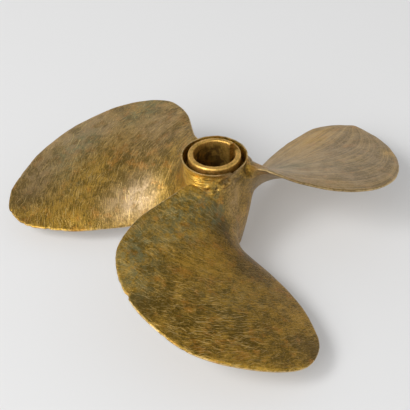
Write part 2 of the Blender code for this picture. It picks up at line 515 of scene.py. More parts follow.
@dataclass(frozen=True)
class Hub:
    """The hub: a barrel with a flared lip and a rounded aft end, a groove and a bore."""

    length: float = 0.0745
    lip_radius: float = 0.0225
    lip_inner: float = 0.0215
    flare: float = 0.0120
    barrel: tuple[tuple[float, float], ...] = (
        (0.0120, 0.0206), (0.0270, 0.0208), (0.0380, 0.0232), (0.0460, 0.0233), (0.0620, 0.0207),
    )
    aft_radius: float = 0.0188
    aft_round: float = 0.0040
    groove_depth: float = 0.0085
    groove_floor: float = 0.0195
    seat_radius: float = 0.0183
    seat_depth: float = 0.0503
    bore_radius: float = 0.0143
    bore_taper: float = 1 / 32
    steps: int = 240

    def outer_radius(self, depth: np.ndarray) -> np.ndarray:
        """The outside radius at each depth below the lip."""
        first = self.barrel[0][1]
        rows = [row[0] for row in self.barrel] + [self.length - self.aft_round]
        radii = [row[1] for row in self.barrel] + [self.aft_radius]
        flare = first + (self.lip_radius - first) * (1 - np.clip(depth / self.flare, 0.0, 1.0)) ** 2
        return np.where(depth < self.flare, flare, smooth_through(np.maximum(depth, self.flare), rows, radii))

    def blank(self) -> bpy.types.Object:
        """The outside of the hub as a closed solid."""
        depths = np.concatenate([
            np.linspace(0.0, 0.0160, 33),
            np.linspace(0.0172, self.length - self.aft_round, 46),
        ])
        profile = [(float(r), float(-d)) for r, d in zip(self.outer_radius(depths), depths)]
        for step in range(1, 7):
            turn = pi / 2 * step / 6
            wide = self.aft_radius - self.aft_round * (1 - cos(turn))
            profile.append((wide, -self.length + self.aft_round * (1 - sin(turn))))
        return turned("hub", profile, self.steps, ring=False)

    def core(self) -> bpy.types.Object:
        """What is cut out of the hub: the groove, the bush's seat and the aft bore."""
        def bore(height: float) -> float:
            return self.bore_radius + self.bore_taper * height
        bottom = -self.length - 0.0050
        profile = [(self.lip_inner, 0.0050), (self.lip_inner, 0.0)]
        for step in range(1, 9):
            share = step / 8
            wide = self.lip_inner + (self.groove_floor - self.lip_inner) * share
            profile.append((wide, -self.groove_depth * share))
        profile.append((self.seat_radius, -self.groove_depth))
        for step in range(1, 13):
            profile.append((self.seat_radius, -self.groove_depth - (self.seat_depth - self.groove_depth) * step / 12))
        profile.append((bore(-self.seat_depth), -self.seat_depth))
        for step in range(1, 9):
            height = -self.seat_depth + (bottom + self.seat_depth) * step / 8
            profile.append((bore(height), height))
        return turned("core", profile, self.steps, ring=False)


@dataclass
class Casting:
    """The hub and its three blades, which are one bronze casting."""

    hub: Hub = field(default_factory=Hub)
    root_round: float = 0.0215
    rim_reach: float = 0.0060
    lip_kept: tuple[float, float] = (0.0, 0.0100)
    aft_kept: tuple[float, float] = (0.0045, 0.0120)
    root_smoothing: int = 90
    relax_reach: tuple[float, float] = (0.0030, 0.0110)
    blades: tuple[Blade, ...] = (
        Blade(
            "left", 154.7, seed=1.0, tip=0.1518, ground=0.5,
            lead_changes=(0, 0, 1.5, 2, 0.5, 0.5, 0.5, 0.5, 1, 2, 3, 0),
            nicks=(
                Nick(Edge.LEADING, 150.5, 2.5, 0.7), Nick(Edge.TRAILING, 147.5, 2.5, 0.7),
                Nick(Edge.TRAILING, 137.0, 4.0, 0.8), Nick(Edge.TRAILING, 132.0, 3.0, 0.6),
                Nick(Edge.TRAILING, 118.5, 3.0, 1.0), Nick(Edge.TRAILING, 109.0, 5.0, 0.4),
            ),
        ),
        Blade(
            "front", 274.1, seed=3.0, tip=0.1520, round_left=1.0, ground=0.35,
            lead_changes=(8, 7, 3, 0.5, -0.5, 0.5, 0.5, 0.7, -0.2, -2, 0, 0),
            trail_changes=(-5, -5, -5, -4.5, -0.5, 1, 1, 0.5, 0, -0.2, -0.5, 0),
            nicks=(
                Nick(Edge.LEADING, 101.0, 3.0, 0.7), Nick(Edge.LEADING, 104.5, 2.5, 0.6),
                Nick(Edge.LEADING, 108.0, 3.5, 0.8), Nick(Edge.LEADING, 112.0, 2.5, 0.6),
                Nick(Edge.LEADING, 115.5, 3.0, 0.5), Nick(Edge.LEADING, 121.0, 4.5, 1.5),
                Nick(Edge.LEADING, 137.0, 4.0, 0.5), Nick(Edge.LEADING, 143.0, 3.0, 0.6),
            ),
        ),
        Blade(
            "right", 32.2, seed=7.0, tip=0.1508, round_left=0.4, ground=0.05, brushed=0.8, pale=0.75,
            lead_changes=(-2, -2, 0, 0, 0, 0, 1, 0.2, 0.7, 3.8, 4.2, 0),
            trail_changes=(0, 0, 0, 0, 0, 0.4, -0.3, -0.5, -0.7, -1, -2.7, 0),
            nicks=(
                Nick(Edge.LEADING, 133.5, 3.0, 1.4), Nick(Edge.LEADING, 138.0, 2.5, 0.5),
                Nick(Edge.TRAILING, 104.0, 6.0, 0.5), Nick(Edge.LEADING, 88.0, 5.0, 0.4),
            ),
        ),
    )

    swell: float = 0.00045
    ripple: float = 0.00014
    ridge_height: float = 0.00042
    ridge_pitch: float = 0.0024
    ridge_slope: float = 0.000004
    ridge_start: tuple[float, float] = (186.0, 200.0)
    ridge_end: tuple[float, float] = (250.0, 272.0)
    lip_wear: float = 0.00035
    lip_nicks: tuple[tuple[float, float, float], ...] = (
        (303.0, 1.1, 1.3), (309.0, 2.0, 0.5), (238.0, 2.5, 0.3), (350.0, 3.0, 0.4),
    )
    dents: tuple[Dent, ...] = (
        Dent(290.5, 7.2, 3.2, 2.0, -0.90),
        Dent(289.5, 10.3, 3.0, 1.0, 0.85),
        Dent(298.0, 7.0, 1.3, 1.4, 0.35),
        Dent(260.5, 7.8, 1.7, 1.3, 0.60),
        Dent(258.0, 10.2, 1.4, 1.2, -0.50),
        Dent(267.6, 13.1, 1.9, 1.1, 0.60),
        Dent(272.0, 11.0, 1.5, 1.3, -0.45),
        Dent(275.4, 18.8, 2.3, 1.6, 0.60),
        Dent(272.0, 19.5, 1.6, 1.4, -0.45),
        Dent(250.0, 12.0, 2.0, 1.2, 0.45),
        Dent(277.5, 5.2, 1.5, 1.2, 0.45),
        Dent(277.5, 11.9, 1.6, 1.0, 0.45),
        Dent(315.0, 9.0, 3.5, 2.0, -0.35),
        Dent(335.0, 5.0, 1.6, 2.2, -0.55),
        Dent(345.0, 6.0, 1.2, 2.0, 0.40),
    )
    patches: tuple[Patch, ...] = (
        Patch(Stain.PATINA, 103, 116, 14, 0.9),
        Patch(Stain.PATINA, 101, 125, 13, 0.9),
        Patch(Stain.PATINA, 119, 143, 15, 0.9),
        Patch(Stain.PATINA, 121, 152, 13, 0.8),
        Patch(Stain.PATINA, 110, 162, 16, 0.4),
        Patch(Stain.PALE_AND_SHEEN, 119, 136, 22, 0.6),
        Patch(Stain.PALE_AND_SHEEN, 130, 148, 20, 0.6),
        Patch(Stain.PALE_AND_SHEEN, 138, 162, 20, 0.6),
        Patch(Stain.PALE_AND_SHEEN, 75, 122, 26, 0.6),
        Patch(Stain.GOLDEN, 118, 179, 22, 0.30),
        Patch(Stain.GOLDEN, 98, 177, 20, 0.20),
        Patch(Stain.DARK, 62, 146, 22, 0.35),
        Patch(Stain.GOLDEN, 94, 158, 14, 0.35),
        Patch(Stain.DARK, 142, 170, 14, 0.50),
        # painted highlight: these two pale spots whiten the left blade's root where the glint light's highlight falls
        Patch(Stain.PALE_AND_SHEEN, 55, 168, 13, 1.0),
        Patch(Stain.PALE_AND_SHEEN, 72, 173, 12, 0.5),
        Patch(Stain.GOLDEN, 24, 205, 7, 1.0),
        Patch(Stain.GOLDEN, 24, 228, 7, 1.0),
        Patch(Stain.GOLDEN, 24, 246, 5, 0.6),
        Patch(Stain.PATINA, 29, 265, 6, 0.9),
        Patch(Stain.PATINA, 28, 279, 5, 0.5),
        Patch(Stain.PATINA, 33, 262, 9, 0.8),
        Patch(Stain.PALE_AND_SHEEN, 24, 301, 7, 0.7),
        Patch(Stain.DARK, 33, 276, 7, 0.5),
        Patch(Stain.PATINA, 98, 237, 14, 0.9),
        Patch(Stain.PATINA, 108, 243, 13, 0.8),
        Patch(Stain.PATINA, 59, 245, 14, 0.9),
        Patch(Stain.PATINA, 79, 233, 16, 0.8),
        Patch(Stain.PATINA, 46, 240, 14, 0.7),
        Patch(Stain.PATINA, 38, 258, 9, 0.7),
        Patch(Stain.PATINA, 98, 272, 20, 0.45),
        Patch(Stain.PATINA, 87, 290, 15, 0.45),
        Patch(Stain.DARK, 39, 272, 9, 0.60),
        Patch(Stain.DARK, 54, 281, 12, 0.15),
        Patch(Stain.DARK, 70, 290, 10, 0.5),
        Patch(Stain.DARK, 68, 279, 9, 0.22),
        Patch(Stain.DARK, 120, 247, 9, 0.6),
        Patch(Stain.DARK, 126, 258, 14, 0.2),
        Patch(Stain.DARK, 139, 296, 13, 0.8),
        Patch(Stain.DARK, 114, 274, 28, 0.14),
        Patch(Stain.DARK, 130, 286, 22, 0.10),
        Patch(Stain.GOLDEN, 74, 270, 16, 0.38),
        Patch(Stain.GOLDEN, 106, 237, 6, 0.5),
        Patch(Stain.GOLDEN, 80, 255, 5, 0.7),
        Patch(Stain.GROUND, 121, 271, 30, 0.45),
        Patch(Stain.DARK, 98, 166, 42, 0.35),
        Patch(Stain.PATINA, 53, 31, 15, 0.8),
        Patch(Stain.PATINA, 66, 22, 14, 0.5),
        # painted highlight: golden spots by the right blade's upper edge, where it catches the light
        Patch(Stain.GOLDEN, 120, 51, 18, 0.9),
        Patch(Stain.PALE_AND_SHEEN, 118, 52, 20, -0.10),
        Patch(Stain.GOLDEN, 137, 21, 8, 0.6),
        Patch(Stain.PALE_AND_SHEEN, 137, 21, 8, -0.50),
        Patch(Stain.GOLDEN, 88, 42, 18, 0.3),
        Patch(Stain.DARK, 116, 8, 18, 0.30),
        Patch(Stain.DARK, 95, 2, 15, 0.30),
        Patch(Stain.DARK, 108, 32, 20, 0.26),
        Patch(Stain.DARK, 132, 36, 16, 0.25),
        Patch(Stain.PATINA, 98, 16, 16, 0.30),
    )

    def build(self) -> bpy.types.Object:
        """Join the blades to the hub and cut the bore.

        Returns:
            The casting, in the row frame.
        """
        made = self.hub.blank()
        surfaces = []
        for blade in self.blades:
            joined = blade.build()
            surfaces.append(surface_of(joined))
            combine(made, joined, "UNION")
        combine(made, self.hub.core(), "DIFFERENCE")
        made.name = "propeller_casting"
        made.data.name = "propeller_casting"
        self.blend_roots(made, surfaces)
        self.wear_down(made)
        put_vertices(made, vertices_of(made) + (0.0, 0.0, LIP_HEIGHT))
        make_active(made)
        bpy.ops.object.shade_smooth_by_angle(angle=radians(38))
        self.dress(made)
        return made

    def blend_roots(self, made: bpy.types.Object, blades: list[BVHTree]) -> None:
        """Flow the hub into the blades, as the casting's pattern does, with the round of a smooth union.

        Args:
            made: the joined casting, still in the lip's frame.
            blades: the surface of each blade, before it was joined.
        """
        places, normals = vertices_of(made), normals_of(made)
        radius, depth = np.hypot(places[:, 0], places[:, 1]), -places[:, 2]
        clearance = radius - self.hub.outer_radius(depth)
        level = faded(depth, *self.lip_kept) * faded(self.hub.length - depth, *self.aft_kept)
        size = self.root_round * self.room_by_rims(places)
        radial = places * (1.0, 1.0, 0.0) / np.maximum(radius, 1e-9)[:, None]
        moved = places.copy()
        free = (level > 0) & (clearance > -1e-5)
        for i in np.flatnonzero(free & (clearance < self.root_round)):
            if clearance[i] > 1e-5:
                moved[i] += round_move(normals[i], radial[i], clearance[i], size[i]) * level[i]
                continue
            for surface in blades:
                spot, facing, _, away = surface.find_nearest(places[i])
                beside = (places[i] - spot) / away if away > 1e-5 else np.array(facing)
                moved[i] += round_move(radial[i], beside, away, size[i]) * level[i]
        put_vertices(made, moved)
        self.relax(made, places, free, clearance)

    def wear_down(self, made: bpy.types.Object) -> None:
        """Give the casting its uneven skin, the lathe's ridges and dents by the lip, and the lip's nicks.

        Args:
            made: the blended casting, still in the lip's frame.
        """
        places, normals = vertices_of(made), normals_of(made)
        radius, depth = np.hypot(places[:, 0], places[:, 1]), -places[:, 2]
        angle = np.degrees(np.arctan2(places[:, 1], places[:, 0])) % 360
        skin = faded(radius, 0.0205, 0.0260)
        out = self.swell * waves(places, 0.0140, 2.0) + self.ripple * waves(places, 0.0055, 9.0)
        out = skin * (out - out.mean())
        wall = (radius > 0.0198) & (radius < 0.0330) & (depth > 0)
        near = np.flatnonzero(wall)
        uneven = waves(places[near] * (1.0, 1.0, 0.3), 0.0100, 4.0)
        turn = 2 * pi * (depth[near] - self.ridge_slope * angle[near]) / self.ridge_pitch + 0.9 * uneven
        ridge = np.sin(turn) + 0.35 * np.sin(2 * turn)
        arc = faded(angle[near], *self.ridge_start) * (1 - faded(angle[near], *self.ridge_end))
        band = faded(depth[near], 0.0008, 0.0030) * (1 - faded(depth[near], 0.0115, 0.0150))
        close = 1 - faded(radius[near], 0.0240, 0.0290)
        out[near] += self.ridge_height * ridge * arc * band * close * (1 + 0.9 * uneven)
        for dent in self.dents:
            out[near] += 2.3 * dent.out * MM * dent.strength(places[near])
        flat = np.abs(normals[:, 2:])
        moved = places + (normals * (1 - flat) + np.array([0.0, 0.0, 1.0]) * flat) * out[:, None]
        lip = faded(radius, 0.0205, 0.0213) * (1 - faded(depth, 0.0, 0.0025)) * (radius < 0.0235)
        worn = self.lip_wear * (0.5 + waves(places * (1, 1, 0), 0.0050, 6.0))
        for where, wide, deep in self.lip_nicks:
            apart = (angle - where + 180) % 360 - 180
            worn += deep * MM * np.exp(-((np.radians(apart) * 22 / wide) ** 2))
        moved[:, 2] -= worn * lip
        put_vertices(made, moved)

    def dress(self, made: bpy.types.Object) -> None:
        """Give the casting its map for the brushed strokes, its stains and its finish, with painted shade in the hub's
        dents and painted highlight on the left and right blades.

        Args:
            made: the finished casting, in the row frame.
        """
        places = vertices_of(made) - (0.0, 0.0, LIP_HEIGHT)
        radius, angle = np.hypot(places[:, 0], places[:, 1]), np.arctan2(places[:, 1], places[:, 0])
        ways = np.array([radians(blade.direction - 12.0) for blade in self.blades])
        apart = (angle[:, None] - ways + pi) % (2 * pi) - pi
        owner = np.argmin(np.abs(apart), axis=1)
        turn = apart[np.arange(len(owner)), owner] - radians(12.0)
        on_blade = faded(radius, 0.0230, 0.0340)
        stains = {stain: np.zeros(len(places)) for stain in Stain}
        for patch in self.patches:
            stains[patch.stain] += patch.strength(places)
        for dent in self.dents:
            rubbed_and_shaded = dent.strength(places) * (radius < 0.0330)
            # lumps are rubbed golden; dents are darkened all over, painted shade in their hollows
            stains[Stain.GOLDEN if dent.out > 0 else Stain.DARK] += 0.8 * rubbed_and_shaded
            stains[Stain.PATINA] *= 1 - 0.8 * rubbed_and_shaded
        uv = np.stack([turn * radius, radius], axis=-1)
        for number, blade in enumerate(self.blades):
            mine = owner == number
            stains[Stain.GROUND][mine] += blade.ground * on_blade[mine]
            stains[Stain.BRUSHED][mine] += blade.brushed * on_blade[mine]
            stains[Stain.PALE_AND_SHEEN][mine] += blade.pale * on_blade[mine]
            if blade.brushed:
                lead, trail = (blade.edge_angle(radius[mine], edge) for edge in Edge)
                across = (turn[mine] - lead) / np.maximum(trail - lead, 0.05)
                uv[mine] = np.stack([radius[mine], across * 0.11], axis=-1)
        for stain, values in stains.items():
            self.attribute(made, stain.value, np.clip(values, 0.0, 1.0))
        rims = np.concatenate([blade.rim(900)[0] for blade in self.blades])
        rims = rims[np.hypot(rims[:, 0], rims[:, 1]) > 0.0240]
        way = np.linspace(0.0, 2 * pi, 720)
        lip = np.stack([self.hub.lip_radius * np.cos(way), self.hub.lip_radius * np.sin(way), 0.0 * way], axis=-1)
        tree = tree_of(np.concatenate([rims, lip]))
        self.attribute(made, "rim", np.array([min(tree.find(place)[2] / MM, 20.0) for place in places]))
        self.brush_map(made, uv, np.stack([angle * 0.021, places[:, 2]], axis=-1), radius)
        made.data.materials.clear()
        made.data.materials.append(CastBronze().material())

    def attribute(self, made: bpy.types.Object, name: str, values: np.ndarray) -> None:
        """Keep one number at each of the mesh's points."""
        made.data.attributes.new(name, "FLOAT", "POINT").data.foreach_set("value", values.astype(np.float32))

    def brush_map(self, made: bpy.types.Object, blade_uv: np.ndarray, hub_uv: np.ndarray, radius: np.ndarray) -> None:
        """Lay a map in metres over the blades and round the hub.

        Args:
            made: the casting.
            blade_uv: each vertex on the blades' map.
            hub_uv: each vertex on the hub's map, unrolled.
            radius: how far each vertex is from the shaft's axis.
        """
        corners = np.zeros(len(made.data.loops), np.int32)
        made.data.loops.foreach_get("vertex_index", corners)
        starts = np.zeros(len(made.data.polygons), np.int32)
        made.data.polygons.foreach_get("loop_start", starts)
        sizes = np.diff(np.append(starts, len(corners)))
        face = np.repeat(np.arange(len(starts)), sizes)
        inner = (np.bincount(face, radius[corners]) / sizes)[face] < 0.0270
        first = hub_uv[corners[starts], 0][face]
        round_hub = hub_uv[corners]
        whole = 2 * pi * 0.021
        round_hub[:, 0] -= np.round((round_hub[:, 0] - first) / whole) * whole
        uv = np.where(inner[:, None], round_hub, blade_uv[corners])
        layer = made.data.uv_layers.new(name="brush")
        layer.data.foreach_set("uv", uv.astype(np.float32).ravel())

    def room_by_rims(self, places: np.ndarray) -> np.ndarray:
        """How much of the root's round is left at each place: little by the blades' sharp edges."""
        rims, left = [], []
        for blade in self.blades:
            line = blade.rim(400)[0]
            line = line[np.hypot(line[:, 0], line[:, 1]) < 0.0700]
            rims.extend(line)
            left.extend([blade.round_left] * len(line))
        tree = tree_of(np.array(rims))
        found = [tree.find(place) for place in places]
        least = np.array(left)[[hit[1] for hit in found]]
        return least + (1 - least) * faded(np.array([hit[2] for hit in found]), 0.0, self.rim_reach)

    def relax(self, made: bpy.types.Object, before: np.ndarray, free: np.ndarray, clearance: np.ndarray) -> None:
        """Even out the mesh along the joints of hub and blades.

        Args:
            made: the blended casting.
            before: its vertices before the blend.
            free: the vertices that may move.
            clearance: how far each one stood off the barrel.
        """
        ends = np.zeros(len(made.data.edges) * 2, np.int32)
        made.data.edges.foreach_get("vertices", ends)
        ends = ends.reshape(-1, 2)
        on_hub = free & (clearance < 1e-5)
        crossing = ends[on_hub[ends[:, 0]] != on_hub[ends[:, 1]]]
        crossing = crossing[free[crossing].all(axis=1)]
        tree = tree_of(before[np.unique(crossing[on_hub[crossing]])])
        near = np.flatnonzero(free & (clearance < 0.0200))
        away = np.array([tree.find(before[i])[2] for i in near])
        weight = (1 - faded(away, *self.relax_reach)) * faded(-before[near, 2], 0.0020, 0.0060)
        group = made.vertex_groups.new(name="roots")
        for i, share in zip(near, weight):
            group.add([int(i)], float(share), "REPLACE")
        make_active(made)
        modifier = made.modifiers.new("relax", "SMOOTH")
        modifier.vertex_group = group.name
        modifier.factor = 0.5
        modifier.iterations = self.root_smoothing
        bpy.ops.object.modifier_apply(modifier=modifier.name)
        made.vertex_groups.clear()


@dataclass
class Bush:
    """The bush that stands in the hub, with its keyed bore."""

    radius: float = 0.0180
    length: float = 0.0500
    stands_out: float = 0.0018
    shoulder: float = 0.0016
    bore_radius: float = 0.0143
    bore_taper: float = 1 / 32
    lead_in: float = 0.0011
    keyway_width: float = 0.0075
    keyway_floor: float = 0.0167
    keyway_direction: float = 27.0
    steps: int = 192

    def build(self) -> bpy.types.Object:
        """Turn the bush and cut its keyway.

        Returns:
            The bush, in the row frame.
        """
        profile = [(self.radius, -self.length + self.length * step / 12) for step in range(12)]
        for step in range(7):
            turn = pi / 2 * step / 6
            wide = self.radius - self.shoulder * (1 - cos(turn))
            profile.append((wide, self.stands_out - self.shoulder * (1 - sin(turn))))
        for step in range(6):
            turn = pi / 2 * step / 5
            wide = self.bore_radius + self.lead_in * (1 - sin(turn))
            profile.append((wide, self.stands_out - self.lead_in * (1 - cos(turn))))
        for step in range(1, 19):
            height = self.stands_out - self.lead_in - (self.length + self.stands_out - self.lead_in) * step / 18
            profile.append((self.bore_radius + self.bore_taper * min(0.0, height), height))
        made = turned("shaft_bush_ring", profile, self.steps, ring=True)
        combine(made, self.keyway(), "DIFFERENCE")
        made.name = "shaft_bush_worn"
        put_vertices(made, vertices_of(made) + (0.0, 0.0, LIP_HEIGHT))
        make_active(made)
        bpy.ops.object.shade_smooth_by_angle(angle=radians(38))
        self.dress(made)
        return made

    def dress(self, made: bpy.types.Object) -> None:
        """Give the bush a map for its lathe rings, and its finish."""
        places = vertices_of(made) - (0.0, 0.0, LIP_HEIGHT)
        radius, angle = np.hypot(places[:, 0], places[:, 1]), np.arctan2(places[:, 1], places[:, 0])
        corners = np.zeros(len(made.data.loops), np.int32)
        made.data.loops.foreach_get("vertex_index", corners)
        uv = np.stack([angle * self.radius, places[:, 2] + radius], axis=-1)[corners]
        made.data.uv_layers.new(name="brush").data.foreach_set("uv", uv.astype(np.float32).ravel())
        made.data.materials.clear()
        made.data.materials.append(BushBronze().material())

    def keyway(self) -> bpy.types.Object:
        """The cutter for the keyway, a bar from the bore's middle to the keyway's floor."""
        deselect_all()
        bpy.ops.mesh.primitive_cube_add(size=1.0)
        bar = bpy.context.object
        bar.scale = (self.keyway_floor, self.keyway_width, self.length + 0.02)
        bar.location = (self.keyway_floor / 2, 0.0, -self.length / 2)
        bpy.ops.object.transform_apply(location=True, rotation=True, scale=True)
        bar.data.transform(Matrix.Rotation(radians(self.keyway_direction), 4, "Z"))
        return bar


@dataclass
class Studio:
    """A pale floor, soft lights and the camera."""

    floor_height: float = LIP_HEIGHT - 0.0746
    lens: float = 100.35
    floor_shade: float = 0.60
    floor_glow: float = 0.185
    room_low: float = 0.95
    room_high: float = 0.24
    key_power: float = 84.0
    glint_power: float = 23.0

    def floor(self) -> None:
        """Lay the floor, which glows a little as a light table does and isn't part of the object."""
        deselect_all()
        bpy.ops.mesh.primitive_plane_add(size=8.0, location=(0, 0, self.floor_height))
        floor = bpy.context.object
        floor.name = "floor"
        paint = bpy.data.materials.new("floor_paint")
        paint.use_nodes = True
        shader = paint.node_tree.nodes["Principled BSDF"]
        shader.inputs["Base Color"].default_value = rgba((self.floor_shade,) * 3)
        shader.inputs["Roughness"].default_value = 0.9
        shader.inputs["Emission Color"].default_value = (1, 1, 1, 1)
        shader.inputs["Emission Strength"].default_value = self.floor_glow
        floor.data.materials.append(paint)

    def camera(self) -> None:
        """Set the camera where the photograph was taken from."""
        data = bpy.data.cameras.new("camera")
        data.lens = self.lens
        data.sensor_width = 36.0
        data.clip_start = 0.01
        camera = bpy.data.objects.new("camera", data)
        right = Vector((0.99978, -0.00513, -0.02050))
        up = Vector((0.01911, 0.63370, 0.77334))
        back = right.cross(up)
        turn = Matrix((right, up, back)).transposed().to_4x4()
        camera.matrix_world = Matrix.Translation((0.0, -0.6158, 0.4976)) @ turn
        bpy.context.scene.collection.objects.link(camera)
        bpy.context.scene.camera = camera

    def lights(self) -> None:
        """Hang the soft lights: a pale room that is darker overhead, and two soft boxes."""
        world = bpy.data.worlds.new("studio")
        bpy.context.scene.world = world
        world.use_nodes = True
        graph = Graph(world.node_tree)
        way = graph.put("ShaderNodeTexCoord", {}).outputs["Generated"]
        rise = graph.put("ShaderNodeSeparateXYZ", {0: way}).outputs[2]
        room = graph.span(rise, 0.0, 1.0, self.room_low, self.room_high)
        world.node_tree.links.new(room, world.node_tree.nodes["Background"].inputs["Strength"])
        world.node_tree.nodes["Background"].inputs["Color"].default_value = (1, 1, 1, 1)
        self.soft_box("key", (-2.02, -2.58, 2.29), 2.4, self.key_power)
        self.soft_box("glint", (-1.46, -0.91, 1.67), 0.8, self.glint_power)

    def soft_box(self, name: str, place: tuple[float, float, float], size: float, power: float) -> None:
        """Hang one square light that points at the propeller."""
        data = bpy.data.lights.new(name, "AREA")
        data.size = size
        data.energy = power
        light = bpy.data.objects.new(name, data)
        light.location = place
        light.rotation_mode = "QUATERNION"
        light.rotation_quaternion = (-Vector(place)).to_track_quat("-Z", "Y")
        bpy.context.scene.collection.objects.link(light)


class Graph:
    """Short calls that add nodes to one node tree."""

    def __init__(self, tree: bpy.types.NodeTree) -> None:
        """Work on this tree."""
        self.tree = tree

    def put(self, kind: str, sources: dict[int | str, Source], **settings: object) -> bpy.types.Node:
        """Add a node, link or set its inputs and set its options.

        Args:
            kind: the node's type.
            sources: a link or a constant for each input that isn't left alone.
            settings: the node's own options.

        Returns:
            The node.
        """
        made = self.tree.nodes.new(kind)
        for name, value in settings.items():
            setattr(made, name, value)
        for key, source in sources.items():
            if isinstance(source, bpy.types.NodeSocket):
                self.tree.links.new(source, made.inputs[key])
            else:
                made.inputs[key].default_value = source
        return made

    def math(self, operation: str, first: Source, second: Source = 0.0) -> bpy.types.NodeSocket:
        """One sum on two numbers."""
        return self.put("ShaderNodeMath", {0: first, 1: second}, operation=operation).outputs[0]

    def total(self, *parts: Source) -> bpy.types.NodeSocket:
        """The sum of several numbers."""
        value = parts[0]
        for part in parts[1:]:
            value = self.math("ADD", value, part)
        return value

    def times(self, first: Source, second: Source) -> bpy.types.NodeSocket:
        """The product of two numbers."""
        return self.math("MULTIPLY", first, second)

    def span(self, value: Source, low: Source, high: Source, least: Source = 0.0, most: Source = 1.0) -> bpy.types.NodeSocket:
        """A smooth rise from one value to another as the input goes from low to high."""
        sources = {"Value": value, "From Min": low, "From Max": high, "To Min": least, "To Max": most}
        return self.put("ShaderNodeMapRange", sources, interpolation_type="SMOOTHSTEP").outputs[0]

    def mix(self, share: Source, first: Source, second: Source) -> bpy.types.NodeSocket:
        """A blend of two colours."""
        return self.put("ShaderNodeMix", {0: share, 6: first, 7: second}, data_type="RGBA").outputs[2]

    def attribute(self, name: str) -> bpy.types.NodeSocket:
        """A number that the mesh holds at each of its points."""
        return self.put("ShaderNodeAttribute", {}, attribute_name=name).outputs["Fac"]

    def group(self, kind: "Effect", **sources: Source) -> bpy.types.NodeSocket:
        """Place a shared effect with its own values, and give its first output."""
        made = self.put("ShaderNodeGroup", {}, node_tree=kind.tree())
        for name, source in sources.items():
            socket = made.inputs[name.replace("_", " ").capitalize()]
            if isinstance(source, bpy.types.NodeSocket):
                self.tree.links.new(source, socket)
            else:
                socket.default_value = source
        return made.outputs[0]


class Effect(Enum):
    """The effects that the finishes share, each a node group that is built once."""

    MOTTLE = "mottle"
    STROKES = "strokes"
    EDGE_WEAR = "edge_wear"

    def tree(self) -> bpy.types.NodeTree:
        """The effect's node group."""
        made = bpy.data.node_groups.get(self.value)
        if made is None:
            made = bpy.data.node_groups.new(self.value, "ShaderNodeTree")
            {Effect.MOTTLE: mottle, Effect.STROKES: strokes, Effect.EDGE_WEAR: edge_wear}[self](made)
        return made


def sockets(made: bpy.types.NodeTree, vectors: tuple[str, ...], numbers: dict[str, float]) -> bpy.types.Node:
    """Give a node group its named inputs and its one output, a mask.

    Args:
        made: the node group.
        vectors: the names of its vector inputs.
        numbers: the names and usual values of its other inputs.

    Returns:
        The group's input node.
    """
    for name in vectors:
        made.interface.new_socket(name=name, in_out="INPUT", socket_type="NodeSocketVector")
    for name, value in numbers.items():
        socket = made.interface.new_socket(name=name, in_out="INPUT", socket_type="NodeSocketFloat")
        socket.default_value = value
    made.interface.new_socket(name="Mask", in_out="OUTPUT", socket_type="NodeSocketFloat")
    return made.nodes.new("NodeGroupInput")


def mottle(made: bpy.types.NodeTree) -> None:
    """Soft-edged patches of one size, in millimetres, for stains, speckle and grain."""
    numbers = {"Size": 10.0, "Seed": 0.0, "Low": 0.4, "High": 0.6, "Detail": 4.0, "Rough": 0.6}
    given = sockets(made, ("Vector",), numbers).outputs
    graph = Graph(made)
    scale = graph.math("DIVIDE", 1000.0, given["Size"])
    place = graph.put("ShaderNodeVectorMath", {0: given["Vector"], "Scale": scale}, operation="SCALE").outputs[0]
    place = graph.put("ShaderNodeVectorMath", {0: place, 1: given["Seed"]}, operation="ADD").outputs[0]
    sources = {"Vector": place, "Scale": 1.0, "Detail": given["Detail"], "Roughness": given["Rough"]}
    cloud = graph.put("ShaderNodeTexNoise", sources).outputs[0]
    mask = graph.span(cloud, given["Low"], given["High"])
    graph.put("NodeGroupOutput", {0: mask})


def strokes(made: bpy.types.NodeTree) -> None:
    """Short strokes side by side, as a file, a grinder or a wire brush leaves them, in millimetres."""
    numbers = {
        "Long": 9.0, "Wide": 0.6, "Turn": 0.0, "Sway": 0.3, "Seed": 0.0, "Low": 0.5, "High": 0.65, "Detail": 2.0,
    }
    given = sockets(made, ("Vector",), numbers).outputs
    graph = Graph(made)
    angle = graph.math("RADIANS", given["Turn"])
    sources = {"Vector": given["Vector"], "Angle": angle}
    turned_place = graph.put("ShaderNodeVectorRotate", sources, rotation_type="Z_AXIS").outputs[0]
    split = graph.put("ShaderNodeSeparateXYZ", {0: turned_place}).outputs
    along = graph.times(graph.math("DIVIDE", split[0], given["Long"]), 1000.0)
    beside = graph.times(graph.math("DIVIDE", split[1], given["Wide"]), 1000.0)
    slow = graph.put("ShaderNodeTexNoise", {"Vector": given["Vector"], "Scale": 90.0, "Detail": 1.0}).outputs[0]
    bend = graph.times(graph.times(slow, given["Sway"]), graph.math("DIVIDE", 10.0, given["Wide"]))
    sources = {0: graph.math("ADD", along, given["Seed"]), 1: graph.math("ADD", beside, bend), 2: given["Seed"]}
    place = graph.put("ShaderNodeCombineXYZ", sources).outputs[0]
    sources = {"Vector": place, "Scale": 1.0, "Detail": given["Detail"], "Roughness": 0.55}
    cloud = graph.put("ShaderNodeTexNoise", sources).outputs[0]
    graph.put("NodeGroupOutput", {0: graph.span(cloud, given["Low"], given["High"])})


def edge_wear(made: bpy.types.NodeTree) -> None:
    """Bare metal along an edge, which breaks up away from it, in millimetres."""
    given = sockets(made, ("Vector",), {"Distance": 0.0, "Reach": 1.0, "Breakup": 0.6}).outputs
    graph = Graph(made)
    sources = {"Vector": given["Vector"], "Scale": 350.0, "Detail": 3.0, "Roughness": 0.6}
    cloud = graph.put("ShaderNodeTexNoise", sources).outputs[0]
    worn = graph.times(graph.math("SUBTRACT", cloud, 0.5), given["Breakup"])
    share = graph.math("DIVIDE", given["Distance"], given["Reach"])
    graph.put("NodeGroupOutput", {0: graph.span(graph.math("ADD", share, graph.times(worn, 3.0)), 1.0, 0.2)})


